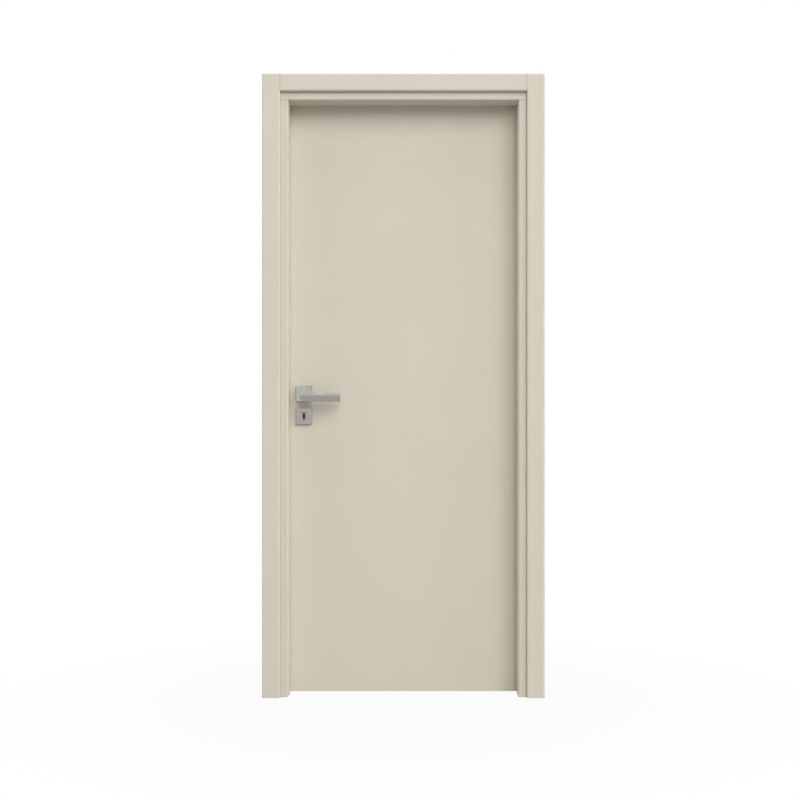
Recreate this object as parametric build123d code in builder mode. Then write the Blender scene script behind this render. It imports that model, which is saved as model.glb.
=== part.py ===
"""Interior hinged door with its frame: a flush rebated leaf in a lacquered jamb set with flat architraves.

Millimetres. +X is to the right and +Y away from the viewer, as the set is seen from its push side, and
+Z is up. The origin is on the wall-side face of the hinge jamb, at floor level, at mid-depth of the jamb.
"""

import math
import os
from build123d import *

os.makedirs("parts", exist_ok=True)

# Doorway and jambs
clear_width = 810.0
clear_height = 2100.0
jamb_thickness = 45.0
jamb_depth = 105.0
jamb_edge_radius = 5.0
rebate_depth = 32.0

# Architraves
front_strip = 28.0
back_strip = 38.5
architrave_width = 63.0
front_architrave_thickness = 14.0
back_architrave_thickness = 12.0
architrave_edge_radius = 6.0
architrave_joint_gap = 0.8

# Seal in the stop shoulder
seal_offset = 5.0
seal_foot_width = 4.0
seal_foot_depth = 6.0
seal_bulb_width = 8.0
seal_bulb_height = 3.0
seal_bulb_radius = 2.5

# Leaf
leaf_overlap = 10.0
leaf_gap = 6.5
leaf_thickness = 44.0
leaf_floor_gap = 6.0
lip_cover = 6.0
lip_thickness = 15.0
lip_gap = 5.0
skin_thickness = 4.0
stile_width = 40.0
top_rail_height = 40.0
bottom_rail_height = 60.0
leaf_edge_radius = 1.5

# Barrel hinges
hinge_end_distance = 230.0
barrel_radius = 6.5
barrel_length = 42.0
barrel_end_radius = 2.5
barrel_gap = 0.4
barrel_lip_clearance = 1.5
hinge_axis_inset = 1.5
pin_radius = 3.7
pin_length = 36.0
pin_clearance = 0.05
pin_end_clearance = 2.0
stud_radius = 3.5
stud_clearance = 0.05
frame_stud_depth = 40.0
leaf_stud_depth = 34.0
leaf_stud_inset = 8.5

# Mortise lock and strike plate
lock_height = 1072.0
backset = 59.0
keyhole_drop = 82.0
lock_line = 14.0
forend_width = 18.0
forend_height = 220.0
forend_thickness = 3.0
case_thickness = 14.0
case_height = 165.0
case_behind_spindle = 23.0
case_clearance = 0.3
latch_width = 10.0
latch_height = 22.0
latch_rise = 22.0
bolt_width = 10.0
bolt_height = 32.0
bolt_length = 35.0
bolt_clearance = 0.3
strike_width = 18.0
strike_height = 190.0
strike_thickness = 2.5
strike_opening_margin = 1.5
strike_pocket_depth = 20.0

# Lever handle, roses and key plates
plate_size = 57.0
plate_thickness = 10.0
plate_corner_radius = 2.0
plate_edge_radius = 1.2
insert_width = 20.0
insert_height = 34.0
insert_corner_radius = 4.0
insert_clearance = 0.1
insert_inset = 0.6
keyhole_width = 7.0
keyhole_height = 20.0
key_slot_width = 3.2
key_slot_height = 29.0
keyhole_passage_width = 12.0
keyhole_passage_height = 34.0
lever_length = 132.0
lever_thickness = 12.0
lever_reach = 60.0
lever_edge_radius = 1.5
lever_arris_radius = 0.8
lever_end_radius = 2.0
head_left = 11.0
head_right = 29.0
head_rise = 27.0
head_corner_radius = 7.0
heel_radius = 20.0
grip_drop = 1.3
grip_height = 30.0
scoop_radius = 22.0
ridge_drop = 8.6
facet_angle = 10.0
neck_journal_radius = 9.0
neck_root_radius = 10.5
neck_top_width = 34.0
neck_top_height = 32.0
neck_top_drop = 5.0
neck_clearance = 0.3
neck_skin_gap = 1.0
spindle_size = 8.0
spindle_fit = 0.05
spindle_socket_depth = 34.0
spindle_hole_radius = 6.5
skin_hole_radius = 11.0

# Places that follow from the sizes above
HINGE_SIDE = 1
LOCK_SIDE = -1
hinge_clear_x = -jamb_thickness
lock_clear_x = hinge_clear_x - clear_width
jamb_front_y = -jamb_depth / 2
jamb_back_y = jamb_depth / 2
shoulder_y = jamb_back_y - rebate_depth
rebate_width = leaf_overlap + leaf_gap
lip_width = leaf_gap + lip_cover
lip_front_y = jamb_back_y + lip_gap
leaf_back_y = lip_front_y + lip_thickness
leaf_front_y = leaf_back_y - leaf_thickness
leaf_mid_y = (leaf_front_y + leaf_back_y) / 2
front_skin_y = leaf_front_y + skin_thickness
back_skin_y = leaf_back_y - skin_thickness
leaf_top_z = clear_height + leaf_overlap
lip_top_z = leaf_top_z + lip_width
hinge_axis_y = leaf_back_y - hinge_axis_inset
hinge_axis_out = leaf_overlap + lip_width + barrel_lip_clearance + barrel_radius
leaf_stud_y = leaf_back_y - leaf_stud_inset
forend_y = leaf_front_y + lock_line
key_height = lock_height - keyhole_drop
forend_mid_z = (lock_height + key_height) / 2


def out_from(side, distance):
    """X of a point that lies a distance out from the clear opening's edge on one side."""
    edge = hinge_clear_x if side == HINGE_SIDE else lock_clear_x
    return edge + side * distance


leaf_lock_x = out_from(LOCK_SIDE, leaf_overlap)
leaf_hinge_x = out_from(HINGE_SIDE, leaf_overlap)
spindle_x = leaf_lock_x + backset
rebate_lock_x = out_from(LOCK_SIDE, rebate_width)
hinge_axis_x = out_from(HINGE_SIDE, hinge_axis_out)
hinge_heights = {
    "bottom": leaf_floor_gap + hinge_end_distance,
    "middle": (leaf_floor_gap + leaf_top_z) / 2,
    "top": leaf_top_z - hinge_end_distance,
}


def rectangle_between(first, second, low, high, mode=Mode.ADD):
    """Rectangle from two sides and two levels of the sketch, in any order."""
    with Locations(((first + second) / 2, (low + high) / 2)):
        Rectangle(abs(second - first), abs(high - low), mode=mode)


def block_between(x_pair, y_pair, z_pair, mode=Mode.ADD):
    """Box from its two ends along each axis, in any order."""
    middle = [(a + b) / 2 for a, b in (x_pair, y_pair, z_pair)]
    with Locations(tuple(middle)):
        Box(*[abs(b - a) for a, b in (x_pair, y_pair, z_pair)], mode=mode)


def round_ended(across, upright):
    """Upright strip with half-round ends, from its two sides and its two ends."""
    middle = (across[0] + across[1]) / 2, (upright[0] + upright[1]) / 2
    with Locations(Location((*middle, 0), 90)):
        SlotOverall(abs(upright[1] - upright[0]), abs(across[1] - across[0]))


def finish(builder, name):
    """Label a finished piece and write it."""
    builder.part.label = name
    export_step(builder.part, f"parts/{name}.step")


# Jambs: rebated boards, rounded all along the doorway, two uprights on the floor and a head across them
head_top_z = clear_height + jamb_thickness
head_ends = out_from(LOCK_SIDE, jamb_thickness), out_from(HINGE_SIDE, jamb_thickness)
head_rebate_ends = rebate_lock_x, out_from(HINGE_SIDE, rebate_width)
jamb_y = jamb_front_y, jamb_back_y
groove_near = seal_offset - seal_foot_width / 2
groove_far = seal_offset + seal_foot_width / 2
groove_y = shoulder_y - seal_foot_depth, shoulder_y
edge_slack = 1.0

with BuildPart() as jamb_surround:
    with BuildSketch(Plane.XZ.offset(-jamb_front_y)):
        rectangle_between(*head_ends, 0, head_top_z)
        rectangle_between(lock_clear_x, hinge_clear_x, 0, clear_height, Mode.SUBTRACT)
    extrude(amount=-jamb_depth)
    edges = jamb_surround.faces().sort_by(Axis.Y)[0].edges()
    edges = edges.filter_by_position(Axis.X, lock_clear_x - edge_slack, hinge_clear_x + edge_slack)
    edges = edges.filter_by_position(Axis.Z, edge_slack, clear_height + edge_slack)
    fillet(edges, jamb_edge_radius)
    rebate_z = 0, clear_height + rebate_width
    block_between(head_rebate_ends, (shoulder_y, jamb_back_y), rebate_z, Mode.SUBTRACT)


def jamb_upright(side):
    """Upright of one side, with the groove for the seal in its stop."""
    with BuildPart() as upright:
        add(jamb_surround.part)
        across = out_from(side, 0), out_from(side, jamb_thickness)
        block_between(across, jamb_y, (0, clear_height), Mode.INTERSECT)
        groove_x = out_from(side, groove_near), out_from(side, groove_far)
        block_between(groove_x, groove_y, (0, clear_height), Mode.SUBTRACT)
    return upright.part


with BuildPart() as hinge_jamb:
    add(jamb_upright(HINGE_SIDE))
    for height in hinge_heights.values():
        stud_z = height - barrel_gap / 2 - barrel_length / 2
        with BuildSketch(Plane.XZ.offset(-jamb_back_y)):
            with Locations((hinge_axis_x, stud_z)):
                Circle(stud_radius + stud_clearance)
        extrude(amount=frame_stud_depth, mode=Mode.SUBTRACT)
finish(hinge_jamb, "hinge_jamb")

latch_z = lock_height + latch_rise
strike_openings = {"latch": (latch_z, latch_height), "bolt": (key_height, bolt_height)}
strike_mid_z = (latch_z + key_height) / 2
strike_y = forend_y - strike_width / 2, forend_y + strike_width / 2
strike_z = strike_mid_z - strike_height / 2, strike_mid_z + strike_height / 2
strike_back_x = rebate_lock_x - strike_thickness
opening_half_width = bolt_width / 2 + strike_opening_margin
opening_y = forend_y - opening_half_width, forend_y + opening_half_width

with BuildPart() as lock_jamb:
    add(jamb_upright(LOCK_SIDE))
    with BuildSketch(Plane.YZ.offset(strike_back_x)):
        round_ended(strike_y, strike_z)
    extrude(amount=strike_thickness, mode=Mode.SUBTRACT)
    for mid_z, height in strike_openings.values():
        half = height / 2 + strike_opening_margin
        pocket_x = strike_back_x - strike_pocket_depth, strike_back_x
        block_between(pocket_x, opening_y, (mid_z - half, mid_z + half), Mode.SUBTRACT)
finish(lock_jamb, "lock_jamb")

with BuildPart() as head_jamb:
    add(jamb_surround.part)
    block_between(head_ends, jamb_y, (clear_height, head_top_z), Mode.INTERSECT)
    groove_z = clear_height + groove_near, clear_height + groove_far
    block_between(head_rebate_ends, groove_y, groove_z, Mode.SUBTRACT)
finish(head_jamb, "head_jamb")

# Strike plate: flush in the lock jamb's rebate, with an opening each for the latch and the bolt
with BuildPart() as strike_plate:
    with BuildSketch(Plane.YZ.offset(strike_back_x)):
        round_ended(strike_y, strike_z)
    extrude(amount=strike_thickness)
    for mid_z, height in strike_openings.values():
        half = height / 2 + strike_opening_margin
        opening_z = mid_z - half, mid_z + half
        block_between((strike_back_x, rebate_lock_x), opening_y, opening_z, Mode.SUBTRACT)
finish(strike_plate, "strike_plate")


# Seals: a foot in the stop's groove and a soft bulb that stands out towards the leaf
def seal_section(across_mid):
    """Section of a seal in the current sketch, whose X is the frame's depth and whose Y runs across."""
    foot = across_mid - seal_foot_width / 2, across_mid + seal_foot_width / 2
    bulb = across_mid - seal_bulb_width / 2, across_mid + seal_bulb_width / 2
    crown_y = shoulder_y + seal_bulb_height
    rectangle_between(shoulder_y - seal_foot_depth, shoulder_y, *foot)
    with BuildSketch(mode=Mode.PRIVATE) as crown:
        rectangle_between(shoulder_y, crown_y, *bulb)
        fillet(crown.vertices().group_by(Axis.X)[-1], seal_bulb_radius)
    add(crown.sketch)


side_seal_plane = Plane(origin=(0, 0, 0), x_dir=(0, 1, 0), z_dir=(0, 0, 1))
for name, side in (("hinge_side_seal", HINGE_SIDE), ("lock_side_seal", LOCK_SIDE)):
    with BuildPart() as side_seal:
        with BuildSketch(side_seal_plane):
            seal_section(-out_from(side, seal_offset))
        extrude(amount=clear_height)
    finish(side_seal, name)

with BuildPart() as head_seal:
    with BuildSketch(Plane.YZ.offset(head_rebate_ends[0])):
        seal_section(clear_height + seal_offset)
    extrude(amount=head_rebate_ends[1] - head_rebate_ends[0])
finish(head_seal, "head_seal")

# Architraves: flat boards rounded all along their edges, uprights full height and the head butted between them
architrave_rows = {
    "front": (jamb_front_y, -front_architrave_thickness, front_strip),
    "back": (jamb_back_y, back_architrave_thickness, back_strip),
}
for row, (seat_y, rise, strip) in architrave_rows.items():
    inner_x = [out_from(side, strip) for side in (LOCK_SIDE, HINGE_SIDE)]
    outer_x = [out_from(side, strip + architrave_width) for side in (LOCK_SIDE, HINGE_SIDE)]
    inner_top_z = clear_height + strip
    row_top_z = inner_top_z + architrave_width
    with BuildPart() as surround:
        with BuildSketch(Plane.XZ.offset(-seat_y)):
            rectangle_between(*outer_x, 0, row_top_z)
            rectangle_between(*inner_x, 0, inner_top_z, Mode.SUBTRACT)
        extrude(amount=-rise)
        face = surround.faces().sort_by(Axis.Y)[0 if rise < 0 else -1]
        feet, *rounded = face.edges().group_by(Axis.Z)
        fillet([edge for group in rounded for edge in group], architrave_edge_radius)
    cuts = {
        "hinge_side": (inner_x[1], outer_x[1]),
        "lock_side": (outer_x[0], inner_x[0]),
        "head": (inner_x[0] + architrave_joint_gap, inner_x[1] - architrave_joint_gap),
    }
    for name, across in cuts.items():
        with BuildPart() as board:
            add(surround.part)
            block_between(across, (seat_y, seat_y + rise), (0, row_top_z), Mode.INTERSECT)
        finish(board, f"{row}_architrave_{name}")

# Leaf framing: stiles and rails between the skins, with the lip that covers the frame's back edge
inner_lock_x = leaf_lock_x + stile_width
inner_hinge_x = leaf_hinge_x - stile_width
lip_lock_x = leaf_lock_x - lip_width
lip_hinge_x = leaf_hinge_x + lip_width
case_inner_x = spindle_x + case_behind_spindle
case_y = forend_y - case_thickness / 2, forend_y + case_thickness / 2
case_z = forend_mid_z - case_height / 2, forend_mid_z + case_height / 2
forend_y_span = forend_y - forend_width / 2, forend_y + forend_width / 2
forend_z_span = forend_mid_z - forend_height / 2, forend_mid_z + forend_height / 2
forend_back_x = leaf_lock_x + forend_thickness


def widened(span, margin):
    """A span with a margin added at both ends."""
    return span[0] - margin, span[1] + margin


def stile_profile(edge_x, inner_x, lip_x):
    """Section of a stile with its lip, between the inner faces of the two skins."""
    with BuildSketch(Plane.XY.offset(leaf_floor_gap)) as profile:
        rectangle_between(edge_x, inner_x, front_skin_y, back_skin_y)
        rectangle_between(edge_x, lip_x, lip_front_y, back_skin_y)
    return profile.sketch


stile_height = leaf_top_z - leaf_floor_gap
with BuildPart() as leaf_lock_stile:
    add(stile_profile(leaf_lock_x, inner_lock_x, lip_lock_x))
    extrude(amount=stile_height)
    with BuildSketch(Plane.YZ.offset(leaf_lock_x)):
        round_ended(forend_y_span, forend_z_span)
    extrude(amount=forend_thickness, mode=Mode.SUBTRACT)
    mortise_y = widened(case_y, case_clearance)
    mortise_z = widened(case_z, case_clearance)
    block_between((forend_back_x, inner_lock_x), mortise_y, mortise_z, Mode.SUBTRACT)
finish(leaf_lock_stile, "leaf_lock_stile")

with BuildPart() as leaf_hinge_stile:
    add(stile_profile(leaf_hinge_x, inner_hinge_x, lip_hinge_x))
    extrude(amount=stile_height)
    for height in hinge_heights.values():
        stud_z = height + barrel_gap / 2 + barrel_length / 2
        with BuildSketch(Plane.YZ.offset(lip_hinge_x)):
            with Locations((leaf_stud_y, stud_z)):
                Circle(stud_radius + stud_clearance)
        extrude(amount=-leaf_stud_depth, mode=Mode.SUBTRACT)
finish(leaf_hinge_stile, "leaf_hinge_stile")

with BuildPart() as leaf_top_rail:
    rail_z = leaf_top_z - top_rail_height, leaf_top_z
    block_between((inner_lock_x, inner_hinge_x), (front_skin_y, back_skin_y), rail_z)
    block_between((lip_lock_x, lip_hinge_x), (lip_front_y, back_skin_y), (leaf_top_z, lip_top_z))
finish(leaf_top_rail, "leaf_top_rail")

with BuildPart() as leaf_bottom_rail:
    rail_z = leaf_floor_gap, leaf_floor_gap + bottom_rail_height
    block_between((inner_lock_x, inner_hinge_x), (front_skin_y, back_skin_y), rail_z)
finish(leaf_bottom_rail, "leaf_bottom_rail")

# Skins: the front one ends at the leaf's body, the back one runs out over the lip
skins = {
    "leaf_front_skin": ((leaf_lock_x, leaf_hinge_x), (leaf_front_y, front_skin_y), leaf_top_z),
    "leaf_back_skin": ((lip_lock_x, lip_hinge_x), (back_skin_y, leaf_back_y), lip_top_z),
}
for name, (across, through, top_z) in skins.items():
    with BuildPart() as skin:
        block_between(across, through, (leaf_floor_gap, top_z))
        with BuildSketch(Plane.XZ.offset(-through[1])):
            with Locations((spindle_x, lock_height)):
                Circle(skin_hole_radius)
            with Locations((spindle_x, key_height)):
                Rectangle(keyhole_passage_width, keyhole_passage_height)
        extrude(amount=skin_thickness, mode=Mode.SUBTRACT)
        if name == "leaf_back_skin":
            outline = skin.faces().sort_by(Axis.Y)[-1].outer_wire()
            fillet(outline.edges(), leaf_edge_radius)
    finish(skin, name)

# Barrel hinges: the frame half carries the pin, the leaf half is bored to turn on it
for place, height in hinge_heights.items():
    lower_top = height - barrel_gap / 2
    with BuildPart() as frame_half:
        with BuildSketch(Plane.XY.offset(lower_top)):
            with Locations((hinge_axis_x, hinge_axis_y)):
                Circle(barrel_radius)
        extrude(amount=-barrel_length)
        fillet(frame_half.edges().group_by(Axis.Z)[0], barrel_end_radius)
        with BuildSketch(Plane.XY.offset(lower_top)):
            with Locations((hinge_axis_x, hinge_axis_y)):
                Circle(pin_radius)
        extrude(amount=pin_length)
        with BuildSketch(Plane.XZ.offset(-hinge_axis_y)):
            with Locations((hinge_axis_x, lower_top - barrel_length / 2)):
                Circle(stud_radius)
        extrude(amount=hinge_axis_y - jamb_back_y + frame_stud_depth)
    finish(frame_half, f"hinge_frame_half_{place}")

    upper_bottom = height + barrel_gap / 2
    with BuildPart() as leaf_half:
        with BuildSketch(Plane.XY.offset(upper_bottom)):
            with Locations((hinge_axis_x, hinge_axis_y)):
                Circle(barrel_radius)
        extrude(amount=barrel_length)
        fillet(leaf_half.edges().group_by(Axis.Z)[-1], barrel_end_radius)
        with BuildSketch(Plane.YZ.offset(hinge_axis_x)):
            with Locations((leaf_stud_y, upper_bottom + barrel_length / 2)):
                Circle(stud_radius)
        extrude(amount=lip_hinge_x - hinge_axis_x - leaf_stud_depth)
        with BuildSketch(Plane.XY.offset(upper_bottom)):
            with Locations((hinge_axis_x, hinge_axis_y)):
                Circle(pin_radius + pin_clearance)
        extrude(amount=pin_length - barrel_gap + pin_end_clearance, mode=Mode.SUBTRACT)
    finish(leaf_half, f"hinge_leaf_half_{place}")

# Mortise lock: case and forend in one, with the latch and the bolt drawn back flush with the forend
bolt_back_x = leaf_lock_x + bolt_length
tongues = {
    "latch_bolt": (latch_z, latch_width, latch_height),
    "dead_bolt": (key_height, bolt_width, bolt_height),
}
with BuildPart() as lock_case:
    with BuildSketch(Plane.YZ.offset(leaf_lock_x)):
        round_ended(forend_y_span, forend_z_span)
    extrude(amount=forend_thickness)
    block_between((forend_back_x, case_inner_x), case_y, case_z)
    for mid_z, width, height in tongues.values():
        tongue_y = widened((forend_y, forend_y), width / 2 + bolt_clearance)
        tongue_z = widened((mid_z, mid_z), height / 2 + bolt_clearance)
        block_between((leaf_lock_x, bolt_back_x), tongue_y, tongue_z, Mode.SUBTRACT)
    with BuildSketch(Plane.XZ.offset(-case_y[1])):
        with Locations((spindle_x, lock_height)):
            Circle(spindle_hole_radius)
        with Locations((spindle_x, key_height)):
            Rectangle(keyhole_passage_width, keyhole_passage_height)
    extrude(amount=case_thickness, mode=Mode.SUBTRACT)
finish(lock_case, "lock_case")

for name, (mid_z, width, height) in tongues.items():
    with BuildPart() as tongue:
        tongue_y = widened((forend_y, forend_y), width / 2)
        tongue_z = widened((mid_z, mid_z), height / 2)
        block_between((leaf_lock_x, bolt_back_x), tongue_y, tongue_z)
    finish(tongue, name)

# Roses and key plates: square plates on both faces of the leaf, the key plates with a keyed insert
front_plane = Plane.XZ.offset(-leaf_front_y)
mirror_plane = Plane(origin=(0, leaf_mid_y, 0), z_dir=(0, 1, 0))


def finish_pair(front, name):
    """Write a fitting of the push side and its mirrored twin of the pull side."""
    finish(front, f"front_{name}")
    with BuildPart() as back:
        mirror(front.part, about=mirror_plane)
    finish(back, f"back_{name}")


def square_plate(height_z):
    """Square plate on the front face of the leaf, with its outer edges rounded."""
    with BuildPart() as plate:
        with BuildSketch(front_plane):
            with Locations((spindle_x, height_z)):
                RectangleRounded(plate_size, plate_size, plate_corner_radius)
        extrude(amount=plate_thickness)
        fillet(plate.faces().sort_by(Axis.Y)[0].edges(), plate_edge_radius)
    return plate.part


with BuildPart() as rose:
    add(square_plate(lock_height))
    with BuildSketch(front_plane):
        with Locations((spindle_x, lock_height)):
            Circle(neck_journal_radius + neck_clearance)
    extrude(amount=plate_thickness, mode=Mode.SUBTRACT)
finish_pair(rose, "rose")

with BuildPart() as key_plate:
    add(square_plate(key_height))
    with BuildSketch(front_plane):
        with Locations((spindle_x, key_height)):
            seat = insert_width + 2 * insert_clearance, insert_height + 2 * insert_clearance
            RectangleRounded(*seat, insert_corner_radius + insert_clearance)
    extrude(amount=plate_thickness, mode=Mode.SUBTRACT)
finish_pair(key_plate, "key_plate")

with BuildPart() as key_insert:
    with BuildSketch(front_plane):
        with Locations((spindle_x, key_height)):
            RectangleRounded(insert_width, insert_height, insert_corner_radius)
        with Locations(Location((spindle_x, key_height, 0), 90)):
            SlotOverall(keyhole_height, keyhole_width, mode=Mode.SUBTRACT)
            SlotOverall(key_slot_height, key_slot_width, mode=Mode.SUBTRACT)
    extrude(amount=plate_thickness - insert_inset)
finish_pair(key_insert, "key_insert")

# Levers: one casting each, a round neck that widens into a sloping head, which scoops down into a ridged grip
grip_top_z = lock_height - grip_drop
grip_bottom_z = grip_top_z - grip_height
head_top_z_end = lock_height + head_rise
ridge_z = grip_top_z - ridge_drop
head_x = spindle_x - head_left, spindle_x + head_right
lever_tip_x = spindle_x + lever_length
lever_back = lever_reach - lever_thickness
neck_shoulder = plate_thickness + neck_clearance
grip_plane = front_plane.offset(lever_back)
side_plane = Plane(origin=(head_x[0], leaf_front_y, 0), x_dir=(0, -1, 0), z_dir=(-1, 0, 0))

with BuildPart() as lever:
    with BuildSketch(grip_plane) as lever_outline:
        rectangle_between(*head_x, grip_bottom_z, head_top_z_end)
        rectangle_between(head_x[0], lever_tip_x, grip_bottom_z, grip_top_z)
        corner_radii = {
            (head_x[1], grip_top_z): scoop_radius,
            (head_x[0], grip_bottom_z): heel_radius,
            (head_x[0], head_top_z_end): head_corner_radius,
            (lever_tip_x, grip_top_z): lever_end_radius,
            (lever_tip_x, grip_bottom_z): lever_end_radius,
        }
        for (x, z), radius in corner_radii.items():
            fillet(lever_outline.vertices().sort_by_distance(Vector(x, z))[0], radius)
    extrude(amount=lever_thickness)
    with BuildSketch(side_plane):
        slope_end = lever_reach - (head_top_z_end - ridge_z) * math.tan(math.radians(facet_angle))
        with BuildLine():
            Polyline((lever_reach, ridge_z), (slope_end, head_top_z_end), (lever_reach, head_top_z_end), close=True)
        make_face()
    extrude(amount=-(lever_tip_x - head_x[0]), mode=Mode.SUBTRACT)
    fillet(lever.faces().sort_by(Axis.Y)[-1].edges(), lever_edge_radius)
    facets = lever.faces().filter_by(lambda face: face.normal_at().Y < -0.9)
    facet_edges = [edge for face in facets for edge in face.edges()]
    arris = [edge for edge in facet_edges if sum(edge.is_same(other) for other in facet_edges) == 1]
    fillet(arris, lever_arris_radius)
    with BuildSketch(front_plane.offset(neck_skin_gap)):
        with Locations((spindle_x, lock_height)):
            Circle(neck_journal_radius)
    extrude(amount=neck_shoulder - neck_skin_gap)
    with BuildSketch(front_plane.offset(neck_shoulder)):
        with Locations((spindle_x, lock_height)):
            Circle(neck_root_radius)
    neck_top_x = head_x[0] + lever_edge_radius + neck_top_width / 2
    with BuildSketch(grip_plane.offset(lever_edge_radius)):
        with Locations((neck_top_x, lock_height - neck_top_drop)):
            Ellipse(neck_top_width / 2, neck_top_height / 2)
    loft()
    with BuildSketch(front_plane.offset(neck_skin_gap)):
        with Locations((spindle_x, lock_height)):
            Rectangle(spindle_size + 2 * spindle_fit, spindle_size + 2 * spindle_fit)
    extrude(amount=spindle_socket_depth, mode=Mode.SUBTRACT)
finish_pair(lever, "lever")

# Spindle: a square bar through the lock that joins the two levers
spindle_end = neck_skin_gap + spindle_socket_depth - 2 * spindle_fit
with BuildPart() as spindle:
    half = spindle_size / 2
    spindle_y = leaf_front_y - spindle_end, leaf_back_y + spindle_end
    spindle_z = lock_height - half, lock_height + half
    block_between((spindle_x - half, spindle_x + half), spindle_y, spindle_z)
finish(spindle, "spindle")
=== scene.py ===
import math

import bmesh
import bpy
from mathutils import Matrix, Vector


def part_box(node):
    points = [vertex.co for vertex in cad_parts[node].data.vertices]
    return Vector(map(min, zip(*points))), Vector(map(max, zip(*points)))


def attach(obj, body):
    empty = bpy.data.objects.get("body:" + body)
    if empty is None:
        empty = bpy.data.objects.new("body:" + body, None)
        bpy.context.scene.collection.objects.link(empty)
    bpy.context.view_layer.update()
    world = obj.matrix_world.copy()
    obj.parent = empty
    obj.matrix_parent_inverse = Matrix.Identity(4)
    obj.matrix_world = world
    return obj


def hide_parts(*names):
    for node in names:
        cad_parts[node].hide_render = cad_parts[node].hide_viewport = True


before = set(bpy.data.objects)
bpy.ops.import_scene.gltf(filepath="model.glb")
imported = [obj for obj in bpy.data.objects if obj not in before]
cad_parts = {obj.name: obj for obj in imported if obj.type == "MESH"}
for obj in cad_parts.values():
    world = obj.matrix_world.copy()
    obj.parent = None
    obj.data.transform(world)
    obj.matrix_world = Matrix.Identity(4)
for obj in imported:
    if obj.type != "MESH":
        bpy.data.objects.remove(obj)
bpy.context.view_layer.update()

# Jambs: three rebated boards of dense fibreboard, the head laid across the two uprights and screwed down. A
# matte greige lacquer is sprayed on every face that shows, and fine dark lines in it mark the head's joints.
# Beside the architraves a line of the same colour marks the glued seams, painted darker as shade for the
# inside corners there. The faces towards the wall, where foam and wedges hold them, stay bare board.
X, Y, Z = range(3)
JAMBS = ("hinge_jamb", "lock_jamb", "head_jamb")
SKIN = 0.0003
JOINT_HALF = 0.0006
SEAM_SHADE_WIDTH = 0.001
JOINT_AND_SHADE_COLOUR = (0.24, 0.215, 0.175, 1.0)
LACQUER = (0.645, 0.602, 0.505, 1.0)
LACQUER_UNEVENNESS = 0.012
LACQUER_CLOUDS = 3.5
LACQUER_SHEEN_PATCHES = 45.0
LACQUER_ROUGHNESS = (0.46, 0.56)
LACQUER_PIMPLES = 520.0
LACQUER_BUMP = (0.06, 0.0006)
LACQUER_SPECULAR = 0.4
BOARD = (0.405, 0.285, 0.175, 1.0)
BOARD_FIBRES = 900.0
FIBRE_TONES = (0.82, 1.16)
BOARD_BLOTCHES = 14.0
BLOTCH_TONES = (0.94, 1.05)
BOARD_ROUGHNESS = (0.75, 0.9)
NOISE_RANGE = (0.3, 0.7)


def new_group(name, inputs):
    """Empty shader node group for a finish, with named sockets, and its input and output nodes."""
    tree = bpy.data.node_groups.new(name, "ShaderNodeTree")
    for socket, kind, value in inputs:
        made = tree.interface.new_socket(socket, in_out="INPUT", socket_type=kind)
        made.default_value = value
    for socket, kind in (("Color", "Color"), ("Roughness", "Float"), ("Height", "Float")):
        tree.interface.new_socket(socket, in_out="OUTPUT", socket_type=f"NodeSocket{kind}")
    return tree, tree.nodes.new("NodeGroupInput"), tree.nodes.new("NodeGroupOutput")


def add_node(tree, kind, links=(), **settings):
    """New node with its settings, and with each input in links wired to a socket or set to a value."""
    node = tree.nodes.new(kind)
    for key, value in settings.items():
        setattr(node, key, value)
    for socket, source in links:
        if isinstance(source, bpy.types.NodeSocket):
            tree.links.new(source, node.inputs[socket])
        else:
            node.inputs[socket].default_value = source
    return node


def place_on(tree):
    """A point's place on the piece, in the frame of the whole door."""
    return tree.nodes.new("ShaderNodeTexCoord").outputs["Object"]


def noise(tree, place, scale, detail=2.0):
    """Noise value at a place, with so many lumps to the metre."""
    links = (("Vector", place), ("Scale", scale), ("Detail", detail))
    return add_node(tree, "ShaderNodeTexNoise", links).outputs["Fac"]


def spread(tree, value, low, high):
    """A noise value, which stays near one half, mapped to a low and a high."""
    links = (("Value", value), ("From Min", NOISE_RANGE[0]), ("From Max", NOISE_RANGE[1]),
             ("To Min", low), ("To Max", high))
    return add_node(tree, "ShaderNodeMapRange", links).outputs["Result"]


def calculate(tree, operation, first, second):
    """Result of a sum or a comparison of two values."""
    return add_node(tree, "ShaderNodeMath", ((0, first), (1, second)), operation=operation).outputs[0]


def toned(tree, tint, tone):
    """A tint made lighter or darker by a tone near one."""
    return add_node(tree, "ShaderNodeVectorMath", ((0, tint), ("Scale", tone)), operation="SCALE").outputs[0]


lacquer_inputs = (
    ("Tint", "NodeSocketColor", LACQUER),
    ("Unevenness", "NodeSocketFloat", LACQUER_UNEVENNESS),
)
lacquer_film, film_in, film_out = new_group("lacquer_film", lacquer_inputs)
place = place_on(lacquer_film)
cloud = noise(lacquer_film, place, LACQUER_CLOUDS, detail=3.0)
uneven = film_in.outputs["Unevenness"]
lowest = calculate(lacquer_film, "SUBTRACT", 1.0, uneven)
highest = calculate(lacquer_film, "ADD", 1.0, uneven)
film_tone = spread(lacquer_film, cloud, lowest, highest)
lacquer_film.links.new(toned(lacquer_film, film_in.outputs["Tint"], film_tone), film_out.inputs["Color"])
sheen_patches = noise(lacquer_film, place, LACQUER_SHEEN_PATCHES, detail=3.0)
lacquer_film.links.new(spread(lacquer_film, sheen_patches, *LACQUER_ROUGHNESS), film_out.inputs["Roughness"])
lacquer_film.links.new(noise(lacquer_film, place, LACQUER_PIMPLES), film_out.inputs["Height"])

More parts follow.
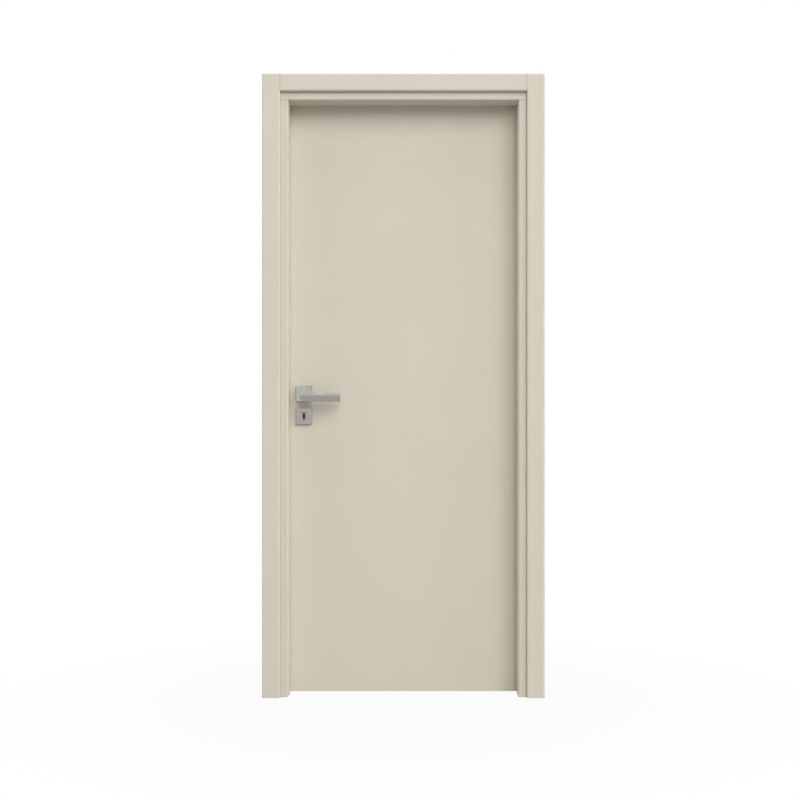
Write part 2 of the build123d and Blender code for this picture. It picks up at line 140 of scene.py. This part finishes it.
bare_board, board_in, board_out = new_group("bare_board", (("Tint", "NodeSocketColor", BOARD),))
place = place_on(bare_board)
fibres = noise(bare_board, place, BOARD_FIBRES, detail=4.0)
blotches = noise(bare_board, place, BOARD_BLOTCHES, detail=3.0)
fibre_tone = spread(bare_board, fibres, *FIBRE_TONES)
blotch_tone = spread(bare_board, blotches, *BLOTCH_TONES)
fibre_colour = toned(bare_board, board_in.outputs["Tint"], fibre_tone)
bare_board.links.new(toned(bare_board, fibre_colour, blotch_tone), board_out.inputs["Color"])
bare_board.links.new(spread(bare_board, fibres, *BOARD_ROUGHNESS), board_out.inputs["Roughness"])
bare_board.links.new(fibres, board_out.inputs["Height"])


def beyond(tree, value, limit, below=False):
    """Mask that is one where a coordinate is past a limit, or below it."""
    return calculate(tree, "LESS_THAN" if below else "GREATER_THAN", value, limit)


def both(tree, first, second):
    """Mask that is one where both masks are."""
    return calculate(tree, "MULTIPLY", first, second)


def between(tree, value, low, high):
    """Mask that is one where a coordinate lies between two limits."""
    return both(tree, beyond(tree, value, low), beyond(tree, value, high, below=True))


def either(tree, masks):
    """Mask that is one where any of the masks is."""
    joined = masks[0]
    for mask in masks[1:]:
        joined = calculate(tree, "MAXIMUM", joined, mask)
    return joined


def axes_of(tree):
    """The X, Y and Z of a point on the piece."""
    axes = add_node(tree, "ShaderNodeSeparateXYZ", ((0, place_on(tree)),)).outputs
    return axes["X"], axes["Y"], axes["Z"]


def mixed(tree, kind, mask, first, second):
    """A colour (RGBA) or a value (FLOAT), with a second one in its place where a mask is one."""
    sockets = {"RGBA": (0, 6, 7, 2), "FLOAT": (0, 2, 3, 0)}
    factor, under, over, result = sockets[kind]
    links = ((factor, mask), (under, first), (over, second))
    return add_node(tree, "ShaderNodeMix", links, data_type=kind).outputs[result]


def bumped(tree, height, strength, distance):
    """Surface normal of a fine relief."""
    links = (("Height", height), ("Strength", strength), ("Distance", distance))
    return add_node(tree, "ShaderNodeBump", links).outputs["Normal"]


def new_material(name):
    """Material, its node tree and its shader."""
    material = bpy.data.materials.new(name)
    material.use_nodes = True
    return material, material.node_tree, material.node_tree.nodes["Principled BSDF"]


def overlay(material, mask, colour):
    """Lay a colour over a material's own where a mask is one."""
    tree = material.node_tree
    base = tree.nodes["Principled BSDF"].inputs["Base Color"]
    tree.links.new(mixed(tree, "RGBA", mask, base.links[0].from_socket, colour), base)


def lacquered(name, tint, bare_masks):
    """Lacquered board that is bare inside the masks, which bare_masks builds from X, Y and Z."""
    material, tree, shader = new_material(name)
    film = add_node(tree, "ShaderNodeGroup", (("Tint", tint),), node_tree=lacquer_film).outputs
    board = add_node(tree, "ShaderNodeGroup", node_tree=bare_board).outputs
    bare = either(tree, bare_masks(tree, *axes_of(tree)))
    colour = mixed(tree, "RGBA", bare, film["Color"], board["Color"])
    roughness = mixed(tree, "FLOAT", bare, film["Roughness"], board["Roughness"])
    height = mixed(tree, "FLOAT", bare, film["Height"], board["Height"])
    tree.links.new(colour, shader.inputs["Base Color"])
    tree.links.new(roughness, shader.inputs["Roughness"])
    tree.links.new(bumped(tree, height, *LACQUER_BUMP), shader.inputs["Normal"])
    shader.inputs["Specular IOR Level"].default_value = LACQUER_SPECULAR
    return material


def coat(material, *names):
    """Give CAD pieces a material."""
    for name in names:
        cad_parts[name].material_slots[0].material = material


def span(name, axis):
    """Lowest and highest coordinate of a CAD piece along an axis."""
    low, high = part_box(name)
    return low[axis], high[axis]


wall_right_x = span("hinge_jamb", X)[1]
wall_left_x = span("lock_jamb", X)[0]
wall_top_z = span("head_jamb", Z)[1]


def wall_faces(tree, x, y, z):
    """The jambs' faces towards the wall, the lintel and the floor."""
    return [
        beyond(tree, x, wall_right_x - SKIN),
        beyond(tree, x, wall_left_x + SKIN, below=True),
        beyond(tree, z, wall_top_z - SKIN),
        beyond(tree, z, SKIN, below=True),
    ]


jamb_lacquer = lacquered("jamb_lacquer", LACQUER, wall_faces)
tree = jamb_lacquer.node_tree
x, y, z = axes_of(tree)
joint_z = span("lock_jamb", Z)[1]
beside_doorway = either(tree, [
    beyond(tree, x, span("hinge_jamb", X)[0]),
    beyond(tree, x, span("lock_jamb", X)[1], below=True),
])
at_joint = between(tree, z, joint_z - JOINT_HALF, joint_z + JOINT_HALF)
overlay(jamb_lacquer, both(tree, beside_doorway, at_joint), JOINT_AND_SHADE_COLOUR)

# The lines beside the architraves are the glued seams, painted darker as the shade of the inside corner.
seam_shade_faces = {
    "front": beyond(tree, y, span("hinge_jamb", Y)[0] + SKIN, below=True),
    "back": beyond(tree, y, span("hinge_jamb", Y)[1] - SKIN),
}
for row, on_face in seam_shade_faces.items():
    lock_edge_x = span(f"{row}_architrave_lock_side", X)[1]
    hinge_edge_x = span(f"{row}_architrave_hinge_side", X)[0]
    head_edge_z = span(f"{row}_architrave_head", Z)[0]
    shade_beside_architraves = either(tree, [
        beyond(tree, x, lock_edge_x + SEAM_SHADE_WIDTH, below=True),
        beyond(tree, x, hinge_edge_x - SEAM_SHADE_WIDTH),
        beyond(tree, z, head_edge_z - SEAM_SHADE_WIDTH),
    ])
    overlay(jamb_lacquer, both(tree, shade_beside_architraves, on_face), JOINT_AND_SHADE_COLOUR)
coat(jamb_lacquer, *JAMBS)

# Architraves: flat fibreboard strips with rounded edges that cover the joint of frame and wall. The uprights
# run full height, the head is butted between them, and all are glued to the jambs. Their backs are bare.
ARCHITRAVES = [f"{row}_architrave_{place}" for row in ("front", "back")
               for place in ("hinge_side", "lock_side", "head")]
front_seat_y = span("front_architrave_head", Y)[1]
back_seat_y = span("back_architrave_head", Y)[0]


def backs_and_feet(tree, x, y, z):
    """The architraves' faces towards the wall and the floor."""
    return [
        between(tree, y, front_seat_y - SKIN, back_seat_y + SKIN),
        beyond(tree, z, SKIN, below=True),
    ]


coat(lacquered("architrave_lacquer", LACQUER, backs_and_feet), *ARCHITRAVES)

# Seals: soft extruded strips, tinted to the lacquer, pressed with a foot into the groove of the stop. Their
# hollow bulbs stand out until they all but meet the closed leaf.
SEAL_LENGTH_AXIS = {"hinge_side_seal": Z, "lock_side_seal": Z, "head_seal": X}
SEAL_FOOT_WIDTH = 0.004
SEAL_FOOT_LAP = 0.0008
SEAL_BULB_HEIGHT = 0.003
SEAL_BULB_SIDES = 28
SEAL_REST_GAP = 0.0003
SEAL = (0.60, 0.56, 0.47)
SEAL_BLOOM = 60.0
SEAL_TONES = (0.93, 1.05)
SEAL_ROUGHNESS = (0.62, 0.75)
SEAL_PORES = 1500.0
SEAL_BUMP = (0.1, 0.0003)
QUARTER_TURN = math.radians(90.0)
MERGE_DISTANCE = 1e-6

seal_rubber, tree, shader = new_material("seal_rubber")
place = place_on(tree)
bloom = noise(tree, place, SEAL_BLOOM, detail=3.0)
tree.links.new(toned(tree, SEAL, spread(tree, bloom, *SEAL_TONES)), shader.inputs["Base Color"])
tree.links.new(spread(tree, bloom, *SEAL_ROUGHNESS), shader.inputs["Roughness"])
tree.links.new(bumped(tree, noise(tree, place, SEAL_PORES), *SEAL_BUMP), shader.inputs["Normal"])


def draw_out(shape, edges, way):
    """Extrude edges along a way."""
    drawn = bmesh.ops.extrude_edge_only(shape, edges=edges)["geom"]
    ends = [part for part in drawn if isinstance(part, bmesh.types.BMVert)]
    bmesh.ops.translate(shape, vec=way, verts=ends)


def close_ends(shape):
    """Fill the open ends of a shape."""
    bmesh.ops.holes_fill(shape, edges=[edge for edge in shape.edges if edge.is_boundary])


def new_piece(name, shape, material, body, slot, *replaced):
    """Object made from a finished shape, riding a body, standing for the replaced CAD pieces. The slot is not
    used.
    """
    bmesh.ops.remove_doubles(shape, verts=shape.verts, dist=MERGE_DISTANCE)
    bmesh.ops.recalc_face_normals(shape, faces=shape.faces)
    mesh = bpy.data.meshes.new(name)
    shape.to_mesh(mesh)
    shape.free()
    mesh.materials.append(material)
    piece = bpy.data.objects.new(name, mesh)
    bpy.context.scene.collection.objects.link(piece)
    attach(piece, body)
    if replaced:
        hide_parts(*replaced)


for seal, axis in SEAL_LENGTH_AXIS.items():
    low, high = (Vector(corner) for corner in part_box(seal))
    middle = (low + high) / 2
    across = X if axis == Z else Z
    bulb_width = high[across] - low[across]
    seat_y = high[Y] - SEAL_BULB_HEIGHT
    crown_y = span("leaf_front_skin", Y)[0] - SEAL_REST_GAP
    start = middle.copy()
    start[axis] = low[axis]
    start[Y] = (seat_y + crown_y) / 2
    along = Vector((0.0, 0.0, 0.0))
    along[axis] = high[axis] - low[axis]
    lie = Matrix.Rotation(QUARTER_TURN, 4, "Y") if axis == X else Matrix.Identity(4)
    oval = Matrix.Diagonal((bulb_width / 2, (crown_y - seat_y) / 2, 1.0, 1.0))
    shape = bmesh.new()
    bulb_end = Matrix.Translation(start) @ lie @ oval
    bmesh.ops.create_circle(shape, segments=SEAL_BULB_SIDES, radius=1.0, matrix=bulb_end)
    draw_out(shape, shape.edges[:], along)
    for wall in shape.faces:
        wall.smooth = True
    close_ends(shape)
    foot_top_y = seat_y + SEAL_FOOT_LAP
    foot_size = Vector((SEAL_FOOT_WIDTH, foot_top_y - low[Y], SEAL_FOOT_WIDTH))
    foot_size[axis] = along[axis]
    foot_middle = middle.copy()
    foot_middle[Y] = (low[Y] + foot_top_y) / 2
    foot = Matrix.Translation(foot_middle) @ Matrix.Diagonal((*foot_size, 1.0))
    bmesh.ops.create_cube(shape, size=1.0, matrix=foot)
    new_piece(f"soft_{seal}", shape, seal_rubber, "frame", "seal_rubber", seal)

# Leaf: a timber frame between two fibreboard skins, with a lip all round but at the foot that closes on the
# jambs. Faces and edges are lacquered a shade lighter than the frame, and the sawn foot is bare.
LEAF = ("leaf_lock_stile", "leaf_hinge_stile", "leaf_top_rail", "leaf_bottom_rail", "leaf_front_skin",
        "leaf_back_skin")
LEAF_LACQUER = (0.662, 0.616, 0.515, 1.0)
leaf_foot_z = span("leaf_front_skin", Z)[0]


def leaf_foot(tree, x, y, z):
    """The leaf's sawn lower edge."""
    return [beyond(tree, z, leaf_foot_z + SKIN, below=True)]


coat(lacquered("leaf_lacquer", LEAF_LACQUER, leaf_foot), *LEAF)

# Hinges: turned steel barrels in satin plating, the lower half with the pin screwed into the jamb and the
# upper half screwed into the leaf's lip.
HINGES = [f"hinge_{half}_half_{place}" for half in ("frame", "leaf")
          for place in ("bottom", "middle", "top")]
PLATED_STEEL = (0.52, 0.51, 0.49, 1.0)
HINGE_GRAIN = (1.0, 1.0, 0.3)
HINGE_GLOSS = (0.24, 0.34)
SATIN_HAIRLINES = 1400.0
HAIRLINE_TONES = (0.975, 1.025)
SATIN_SMUDGES = 35.0
SATIN_BUMP = (0.05, 0.0002)

grain_inputs = (
    ("Tint", "NodeSocketColor", PLATED_STEEL),
    ("Stretch", "NodeSocketVector", HINGE_GRAIN),
    ("Gloss Low", "NodeSocketFloat", HINGE_GLOSS[0]),
    ("Gloss High", "NodeSocketFloat", HINGE_GLOSS[1]),
)
satin_grain, grain_in, grain_out = new_group("satin_grain", grain_inputs)
place = place_on(satin_grain)
stretched = ((0, place), (1, grain_in.outputs["Stretch"]))
combed = add_node(satin_grain, "ShaderNodeVectorMath", stretched, operation="MULTIPLY").outputs[0]
hairlines = noise(satin_grain, combed, SATIN_HAIRLINES, detail=3.0)
smudges = noise(satin_grain, place, SATIN_SMUDGES)
hairline_tone = spread(satin_grain, hairlines, *HAIRLINE_TONES)
satin_grain.links.new(toned(satin_grain, grain_in.outputs["Tint"], hairline_tone), grain_out.inputs["Color"])
smudge_gloss = spread(satin_grain, smudges, grain_in.outputs["Gloss Low"], grain_in.outputs["Gloss High"])
satin_grain.links.new(smudge_gloss, grain_out.inputs["Roughness"])
satin_grain.links.new(hairlines, grain_out.inputs["Height"])


def satin(name, tint, stretch, gloss, metallic=1.0):
    """Satin surface with a fine grain, drawn out along the axes whose stretch is small."""
    material, tree, shader = new_material(name)
    values = (("Tint", tint), ("Stretch", stretch), ("Gloss Low", gloss[0]), ("Gloss High", gloss[1]))
    grain = add_node(tree, "ShaderNodeGroup", values, node_tree=satin_grain).outputs
    tree.links.new(grain["Color"], shader.inputs["Base Color"])
    tree.links.new(grain["Roughness"], shader.inputs["Roughness"])
    tree.links.new(bumped(tree, grain["Height"], *SATIN_BUMP), shader.inputs["Normal"])
    shader.inputs["Metallic"].default_value = metallic
    return material


coat(satin("hinge_metal", PLATED_STEEL, HINGE_GRAIN, HINGE_GLOSS), *HINGES)

# Mortise lock: a steel case let into the lock stile behind a satin forend, with the latch and the bolt drawn
# back and a square spindle through it. The strike plate lies opposite, flush in the jamb's rebate.
FOREND_GRAIN = (1.0, 1.0, 0.05)
FOREND_GLOSS = (0.28, 0.4)
forend_steel = satin("forend_steel", PLATED_STEEL, FOREND_GRAIN, FOREND_GLOSS)
coat(forend_steel, "lock_case", "strike_plate", "latch_bolt", "dead_bolt", "spindle")

# Screws: raised countersunk heads with a cross recess, of the same plated steel as the plates. Two each go
# through the ends of the forend and the strike plate, into the stile and the jamb.
SCREW_RADIUS = 0.0039
SCREW_SIDES = 24
SCREW_RISE = 0.0006
SCREW_END_DISTANCE = 0.012
CROSS_HALF = 0.0021
CROSS_CELLS = 3
CROSS_DEPTH = 0.0016
CROSS_TAPER = 0.6


def edges_at(verts):
    """The edges that meet at some vertices, each once."""
    return list(dict.fromkeys(edge for vert in verts for edge in vert.link_edges))


def cross_screw(shape, place, outward):
    """Screw head at a place on a plate, facing along X with the sign of outward."""
    grid = bmesh.ops.create_grid(shape, x_segments=CROSS_CELLS, y_segments=CROSS_CELLS, size=CROSS_HALF)
    cells = list(dict.fromkeys(face for vert in grid["verts"] for face in vert.link_faces))
    arm = CROSS_HALF / CROSS_CELLS
    corners = [cell for cell in cells if min(abs(cell.calc_center_median()[a]) for a in (X, Y)) > arm]
    bmesh.ops.delete(shape, geom=corners, context="FACES")
    cross = [face for face in cells if face.is_valid]
    outline = list(dict.fromkeys(edge for face in cross for edge in face.edges if edge.is_boundary))
    rim = bmesh.ops.create_circle(shape, segments=SCREW_SIDES, radius=SCREW_RADIUS)["verts"]
    bmesh.ops.translate(shape, vec=(0.0, 0.0, -SCREW_RISE), verts=rim)
    bmesh.ops.bridge_loops(shape, edges=outline + edges_at(rim))
    sunk = bmesh.ops.extrude_face_region(shape, geom=cross)["geom"]
    bottom = [part for part in sunk if isinstance(part, bmesh.types.BMVert)]
    bmesh.ops.delete(shape, geom=[face for face in cross if face.is_valid], context="FACES_ONLY")
    bmesh.ops.translate(shape, vec=(0.0, 0.0, -CROSS_DEPTH), verts=bottom)
    bmesh.ops.scale(shape, vec=(CROSS_TAPER, CROSS_TAPER, 1.0), verts=bottom)
    top = [vert for edge in outline if edge.is_valid for vert in edge.verts]
    turn = Matrix.Rotation(QUARTER_TURN * outward, 4, "Y")
    lift = Matrix.Translation(Vector(place) + Vector((outward * SCREW_RISE, 0.0, 0.0)))
    bmesh.ops.transform(shape, matrix=lift @ turn, verts=list(dict.fromkeys(rim + bottom + top)))


plate_faces = {
    "lock_case": (span("lock_case", X)[0], -1, "leaf"),
    "strike_plate": (span("strike_plate", X)[1], 1, "frame"),
}
for plate, (face_x, outward, body) in plate_faces.items():
    low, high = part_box(plate)
    shape = bmesh.new()
    for screw_z in (low[Z] + SCREW_END_DISTANCE, high[Z] - SCREW_END_DISTANCE):
        cross_screw(shape, (face_x, (low[Y] + high[Y]) / 2, screw_z), outward)
    new_piece(f"{plate}_screws", shape, forend_steel, body, "lock_steel")

# Roses and key plates: square cast plates with eased edges, pinned to both faces of the leaf and satin
# chromed, the roses of the same metal but tinted a little brighter as painted reflection. Each key plate
# holds a grey moulded insert with the keyhole, whose inside is painted near black as the hole's shade.
ROSE_PAINTED_SHEEN_CHROME = (0.49, 0.478, 0.455, 1.0)
PLATE_CHROME = (0.398, 0.381, 0.358, 1.0)
PLATE_GRAIN = (1.0, 1.0, 0.04)
PLATE_GLOSS = (0.25, 0.33)
KEY_GUIDE = (0.37, 0.363, 0.35, 1.0)
GUIDE_GLOSS = (0.35, 0.5)
EVEN_GRAIN = (1.0, 1.0, 1.0)
KEYHOLE_SHADE_BLACK = (0.012, 0.012, 0.012, 1.0)
KEYHOLE_SHADE_START = 0.0005
# The roses' brighter tint is painted reflection; they are of the plates' metal.
coat(satin("rose_painted_sheen_chrome", ROSE_PAINTED_SHEEN_CHROME, PLATE_GRAIN, PLATE_GLOSS), "front_rose", "back_rose")
coat(satin("plate_chrome", PLATE_CHROME, PLATE_GRAIN, PLATE_GLOSS), "front_key_plate", "back_key_plate")

key_guide = satin("key_guide", KEY_GUIDE, EVEN_GRAIN, GUIDE_GLOSS, metallic=0.0)
tree = key_guide.node_tree
# Past the mouth of the keyhole the insert is painted near black: painted shade inside the hole.
shade_front_y = span("front_key_insert", Y)[0] + KEYHOLE_SHADE_START
shade_back_y = span("back_key_insert", Y)[1] - KEYHOLE_SHADE_START
overlay(key_guide, between(tree, axes_of(tree)[Y], shade_front_y, shade_back_y), KEYHOLE_SHADE_BLACK)
coat(key_guide, "front_key_insert", "back_key_insert")

# Key curtain: a leaf of steel, stamped from sheet with eased edges, that closes the view through the keyhole.
# Its near-black colour is painted shade for the dark inside of the lock. It hangs in the middle of the lock
# case.
CURTAIN_SIZE = (0.012, 0.0016, 0.034)
CURTAIN_EDGE = 0.0004
CURTAIN_GLOSS = (0.5, 0.6)
# The curtain's near-black colour is painted shade for the inside of the lock.
curtain_painted_shade = satin("curtain_painted_shade", KEYHOLE_SHADE_BLACK, EVEN_GRAIN, CURTAIN_GLOSS)
insert_low, insert_high = (Vector(corner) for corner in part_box("front_key_insert"))
curtain_middle = (insert_low + insert_high) / 2
curtain_middle[Y] = sum(span("lock_case", Y)) / 2
curtain_fit = Matrix.Translation(curtain_middle) @ Matrix.Diagonal((*CURTAIN_SIZE, 1.0))
shape = bmesh.new()
bmesh.ops.create_cube(shape, size=1.0, matrix=curtain_fit)
bmesh.ops.bevel(shape, geom=shape.edges[:], offset=CURTAIN_EDGE, segments=2, profile=0.5,
                affect="EDGES", material=-1)
new_piece("key_curtain", shape, curtain_painted_shade, "leaf", "lock_steel")

# Levers: one casting each, a round neck on the spindle that widens into a sloping head, which scoops down
# into the ridged grip. The castings are brushed along the grip and satin chromed like the plates, their tint
# set darker than the plates' as a painted darker reflection.
LEVER_PAINTED_SHADE_CHROME = (0.325, 0.312, 0.294, 1.0)
LEVER_GRAIN = (0.04, 1.0, 1.0)
LEVER_GLOSS = (0.24, 0.34)
# The levers' darker tint is painted shade in the reflection; the metal is the plates'.
coat(satin("lever_painted_shade_chrome", LEVER_PAINTED_SHADE_CHROME, LEVER_GRAIN, LEVER_GLOSS), "front_lever", "back_lever")

# Set screws: dark steel grub screws with a hexagon socket, one in the underside of each neck, that clamp the
# levers to the spindle.
SET_SCREW_RADIUS = 0.0026
SET_SCREW_RISE = 0.0002
SET_SCREW_DEPTH = 0.0014
SET_SCREW_FROM_LEAF = 0.018
SOCKET_RADIUS = 0.0015
SOCKET_SIDES = 6
SOCKET_DEPTH = 0.001
SET_SCREW_STEEL = (0.12, 0.12, 0.118, 1.0)
SET_SCREW_GLOSS = (0.35, 0.45)
UPWARDS = (0.0, 0.0, 1.0)
CLEAR_BELOW = 0.01
set_screw_steel = satin("set_screw_steel", SET_SCREW_STEEL, EVEN_GRAIN, SET_SCREW_GLOSS)
screw_depths = {
    "front": span("leaf_front_skin", Y)[0] - SET_SCREW_FROM_LEAF,
    "back": span("leaf_back_skin", Y)[1] + SET_SCREW_FROM_LEAF,
}
for side, screw_y in screw_depths.items():
    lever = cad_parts[f"{side}_lever"]
    below = (sum(span("spindle", X)) / 2, screw_y, span(f"{side}_lever", Z)[0] - CLEAR_BELOW)
    seat, outward = lever.ray_cast(below, UPWARDS, depsgraph=bpy.context.evaluated_depsgraph_get())[1:3]
    shape = bmesh.new()
    rim = edges_at(bmesh.ops.create_circle(shape, segments=SCREW_SIDES, radius=SET_SCREW_RADIUS)["verts"])
    socket = edges_at(bmesh.ops.create_circle(shape, segments=SOCKET_SIDES, radius=SOCKET_RADIUS)["verts"])
    bmesh.ops.bridge_loops(shape, edges=rim + socket)
    draw_out(shape, rim, (0.0, 0.0, -SET_SCREW_DEPTH))
    draw_out(shape, socket, (0.0, 0.0, -SOCKET_DEPTH))
    close_ends(shape)
    aim = outward.to_track_quat("Z", "Y").to_matrix().to_4x4()
    lift = Matrix.Translation(seat + SET_SCREW_RISE * outward)
    bmesh.ops.transform(shape, matrix=lift @ aim, verts=shape.verts)
    new_piece(f"{side}_set_screw", shape, set_screw_steel, "handle", "lock_steel")

# Floor: a plain pale studio floor that runs on into the white ground. Near the door it shows its own white
# with a little of the light that falls on it, so the door's shadow stays faint. Further off it shows its own
# white alone.
FLOOR_REACH = 30.0
FLOOR_TONE = (0.32, 0.32, 0.32, 1.0)
OWN_WHITE = 0.95
SHADOW_MIDDLE = (-0.45, 0.0, 0.0)
SHADOW_REACH = (0.6, 1.6)


def seen_directly(tree):
    """One for what the camera, a reflection or glass sees, and zero for the light that falls on things."""
    path = tree.nodes.new("ShaderNodeLightPath").outputs
    return either(tree, [path["Is Camera Ray"], path["Is Glossy Ray"], path["Is Transmission Ray"]])


shape = bmesh.new()
bmesh.ops.create_grid(shape, x_segments=1, y_segments=1, size=FLOOR_REACH)
floor_mesh = bpy.data.meshes.new("floor")
shape.to_mesh(floor_mesh)
shape.free()
floor = bpy.data.objects.new("floor", floor_mesh)
bpy.context.scene.collection.objects.link(floor)

floor_paint, tree, shader = new_material("floor_paint")
tree.nodes.remove(shader)
lit = add_node(tree, "ShaderNodeBsdfDiffuse", (("Color", FLOOR_TONE),)).outputs[0]
glow = add_node(tree, "ShaderNodeEmission", (("Strength", 1.0),)).outputs[0]
from_door = ((0, place_on(tree)), (1, SHADOW_MIDDLE))
away = add_node(tree, "ShaderNodeVectorMath", from_door, operation="DISTANCE").outputs["Value"]
fading = (("Value", away), ("From Min", SHADOW_REACH[0]), ("From Max", SHADOW_REACH[1]),
          ("To Min", OWN_WHITE))
own = add_node(tree, "ShaderNodeMapRange", fading, interpolation_type="SMOOTHSTEP").outputs["Result"]
share = calculate(tree, "MULTIPLY", seen_directly(tree), own)
paint = add_node(tree, "ShaderNodeMixShader", ((0, share), (1, lit), (2, glow))).outputs[0]
tree.links.new(paint, tree.nodes["Material Output"].inputs["Surface"])
floor_mesh.materials.append(floor_paint)

# Light: a pale room, three tall soft boxes in front of the door from its middle to the right, a small one for
# the metal's sheen, two beside it that open up the reveals, one overhead, and one behind for the pull side.
# All stand far off, so that the light hardly falls off down the door.
ROOM_LEVEL = 0.145
WHITE = (1.0, 1.0, 1.0, 1.0)
DOOR_MIDDLE = Vector((-0.45, 0.0, 1.1))
LAMP_DISTANCE = 30.0

room = bpy.data.worlds.new("room")
bpy.context.scene.world = room
room.use_nodes = True
tree = room.node_tree
soft = tree.nodes["Background"]
soft.inputs["Color"].default_value = WHITE
soft.inputs["Strength"].default_value = ROOM_LEVEL
ground = add_node(tree, "ShaderNodeBackground", (("Color", WHITE), ("Strength", 1.0)))
room_parts = ((0, seen_directly(tree)), (1, soft.outputs[0]), (2, ground.outputs[0]))
seen_room = add_node(tree, "ShaderNodeMixShader", room_parts).outputs[0]
tree.links.new(seen_room, tree.nodes["World Output"].inputs["Surface"])


def soft_box(name, azimuth, elevation, level, size, mirrored):
    """Soft box that faces the middle of the door, at degrees to the right of and above the front."""
    turn, lift = math.radians(azimuth), math.radians(elevation)
    towards = Vector((math.sin(turn) * math.cos(lift), -math.cos(turn) * math.cos(lift), math.sin(lift)))
    lamp = bpy.data.lights.new(name, "AREA")
    lamp.shape = "RECTANGLE"
    lamp.size, lamp.size_y = size
    lamp.energy = level * math.pi ** 2 * LAMP_DISTANCE ** 2
    box = bpy.data.objects.new(name, lamp)
    box.location = DOOR_MIDDLE + LAMP_DISTANCE * towards
    box.rotation_euler = (-towards).to_track_quat("-Z", "Y").to_euler()
    box.visible_camera = False
    box.visible_glossy = mirrored
    bpy.context.scene.collection.objects.link(box)


soft_box("front_light", 7.0, 37.0, 0.262, (9.0, 25.0), mirrored=False)
soft_box("key_light", 23.0, 36.0, 0.24, (14.0, 23.0), mirrored=False)
soft_box("right_light", 41.0, 30.0, 0.24, (13.0, 18.0), mirrored=False)
soft_box("card_light", 0.0, 24.0, 0.034, (10.0, 10.0), mirrored=True)
soft_box("right_side_light", 80.0, 12.0, 0.38, (14.0, 14.0), mirrored=False)
soft_box("left_side_light", -75.0, 12.0, 0.24, (14.0, 14.0), mirrored=False)
soft_box("top_light", 0.0, 84.0, 0.50, (14.0, 14.0), mirrored=True)
soft_box("back_light", 170.0, 28.0, 0.8, (30.0, 30.0), mirrored=False)

# Camera: square on to the push side at hip height, far enough back to give the reveal's narrow perspective.
# The lens is shifted, as on a view camera, so that the door's upright lines stay upright.
PICTURE = 800.0
FOCUS_PX = 1187.2
VANISH_PX = (405.0, 455.0)
CAMERA_PLACE = (-0.4446, -4.2265, 0.8518)
SENSOR_WIDTH = 36.0
view_camera = bpy.data.cameras.new("view_camera")
view_camera.sensor_width = SENSOR_WIDTH
view_camera.lens = FOCUS_PX / PICTURE * SENSOR_WIDTH
view_camera.shift_x = (PICTURE / 2 - VANISH_PX[0]) / PICTURE
view_camera.shift_y = (VANISH_PX[1] - PICTURE / 2) / PICTURE
camera = bpy.data.objects.new("view_camera", view_camera)
camera.location = CAMERA_PLACE
camera.rotation_euler = (QUARTER_TURN, 0.0, 0.0)
bpy.context.scene.collection.objects.link(camera)
bpy.context.scene.camera = camera
bpy.context.scene.view_settings.view_transform = "Standard"
